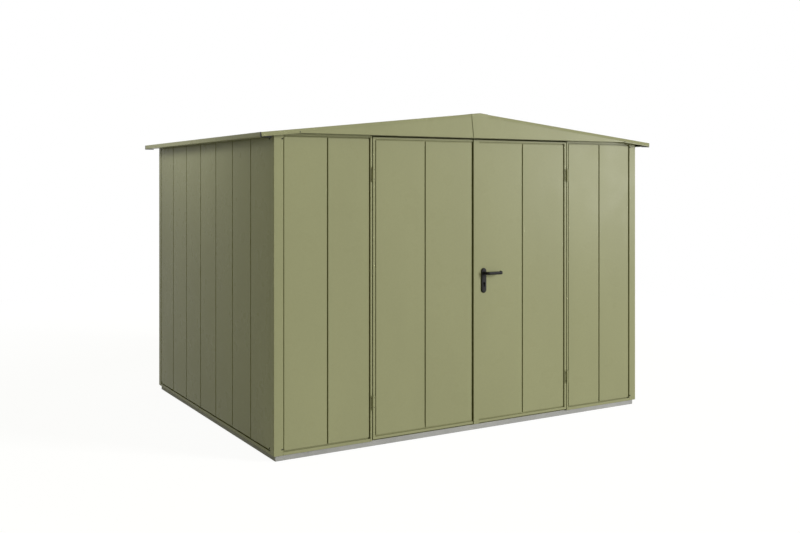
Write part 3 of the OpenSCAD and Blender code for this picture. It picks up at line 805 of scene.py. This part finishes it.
def make_floor():
    """Pale floor that keeps the shadows and is white where it is seen."""
    bm = bmesh.new()
    bmesh.ops.create_grid(bm, x_segments=1, y_segments=1, size=FLOOR_SIZE)
    mesh = bpy.data.meshes.new("floor")
    bm.to_mesh(mesh)
    bm.free()
    obj = bpy.data.objects.new("floor", mesh)
    obj.location.z = -FLOOR_DROP
    scene.collection.objects.link(obj)
    m = Nodes("floor")
    m.put(FLOOR_GREY, m.bsdf.inputs["Base Color"])
    m.put(1.0, m.bsdf.inputs["Roughness"])
    m.put(0.0, m.bsdf.inputs["Specular IOR Level"])
    path = m.add("LightPath")
    seen = m.math("MAXIMUM", path.outputs["Is Camera Ray"], path.outputs["Is Glossy Ray"])
    seen = m.math("MAXIMUM", seen, path.outputs["Is Transmission Ray"])
    away = m.add("VectorMath", operation="LENGTH")
    m.put(m.coords(), away.inputs[0])
    share = m.spread(away.outputs["Value"], GLOW_SHARE, 1.0, GLOW_NEAR, GLOW_FAR)
    strength = m.spread(away.outputs["Value"], GLOW_STRENGTH, 1.0, GLOW_NEAR, GLOW_FAR)
    glow = m.add("Emission", {"Color": WHITE, "Strength": strength})
    mix = m.add("MixShader", {"Fac": m.math("MULTIPLY", seen, share)})
    m.put(m.bsdf.outputs[0], mix.inputs[1])
    m.put(glow.outputs[0], mix.inputs[2])
    m.put(mix.outputs[0], m.tree.nodes["Material Output"].inputs["Surface"])
    obj.data.materials.append(m.mat)


def make_world():
    """Plain soft light from all round; white where it is seen."""
    world = bpy.data.worlds.new("studio")
    world.use_nodes = True
    scene.world = world
    tree = world.node_tree
    back = tree.nodes["Background"]
    path = tree.nodes.new("ShaderNodeLightPath")
    top = path.outputs["Is Camera Ray"]
    for ray in ("Is Glossy Ray", "Is Transmission Ray"):
        peak = tree.nodes.new("ShaderNodeMath")
        peak.operation = "MAXIMUM"
        tree.links.new(top, peak.inputs[0])
        tree.links.new(path.outputs[ray], peak.inputs[1])
        top = peak.outputs[0]
    span = tree.nodes.new("ShaderNodeMapRange")
    tree.links.new(top, span.inputs["Value"])
    span.inputs["To Min"].default_value = WORLD_LEVEL
    span.inputs["To Max"].default_value = 1.0
    tree.links.new(span.outputs["Result"], back.inputs["Strength"])
    tint = tree.nodes.new("ShaderNodeMix")
    tint.data_type = "RGBA"
    tree.links.new(top, tint.inputs["Factor"])
    tint.inputs["A"].default_value = WORLD_TINT
    tint.inputs["B"].default_value = WHITE
    tree.links.new(tint.outputs["Result"], back.inputs["Color"])


def soft_box(name, aim, way, far, wide, high, power):
    """A plain area lamp; way is the direction it stands in from where it aims."""
    data = bpy.data.lights.new(name, "AREA")
    data.shape = "RECTANGLE"
    data.size = wide
    data.size_y = high
    data.energy = power
    obj = bpy.data.objects.new(name, data)
    obj.location = Vector(aim) + Vector(way).normalized() * far
    obj.rotation_euler = Vector(way).to_track_quat("Z", "Y").to_euler()
    obj.visible_camera = False
    scene.collection.objects.link(obj)


FRONT_MIDDLE = (0.0, -WALL_Y, 1.1)
LEFT_WALL_TOP = (-WALL_X, 0.45, 1.9)
FAR = 36.0

make_floor()
make_world()
soft_box("key", FRONT_MIDDLE, (0.64, -0.72, 0.28), FAR, 8.0, 8.0, 7750)
soft_box("low", FRONT_MIDDLE, (0.71, -0.70, 0.035), FAR, 4.0, 4.0, 4800)
soft_box("rim", LEFT_WALL_TOP, (-0.8, 0.1, 0.5), 0.8, 1.9, 0.3, 5.5)
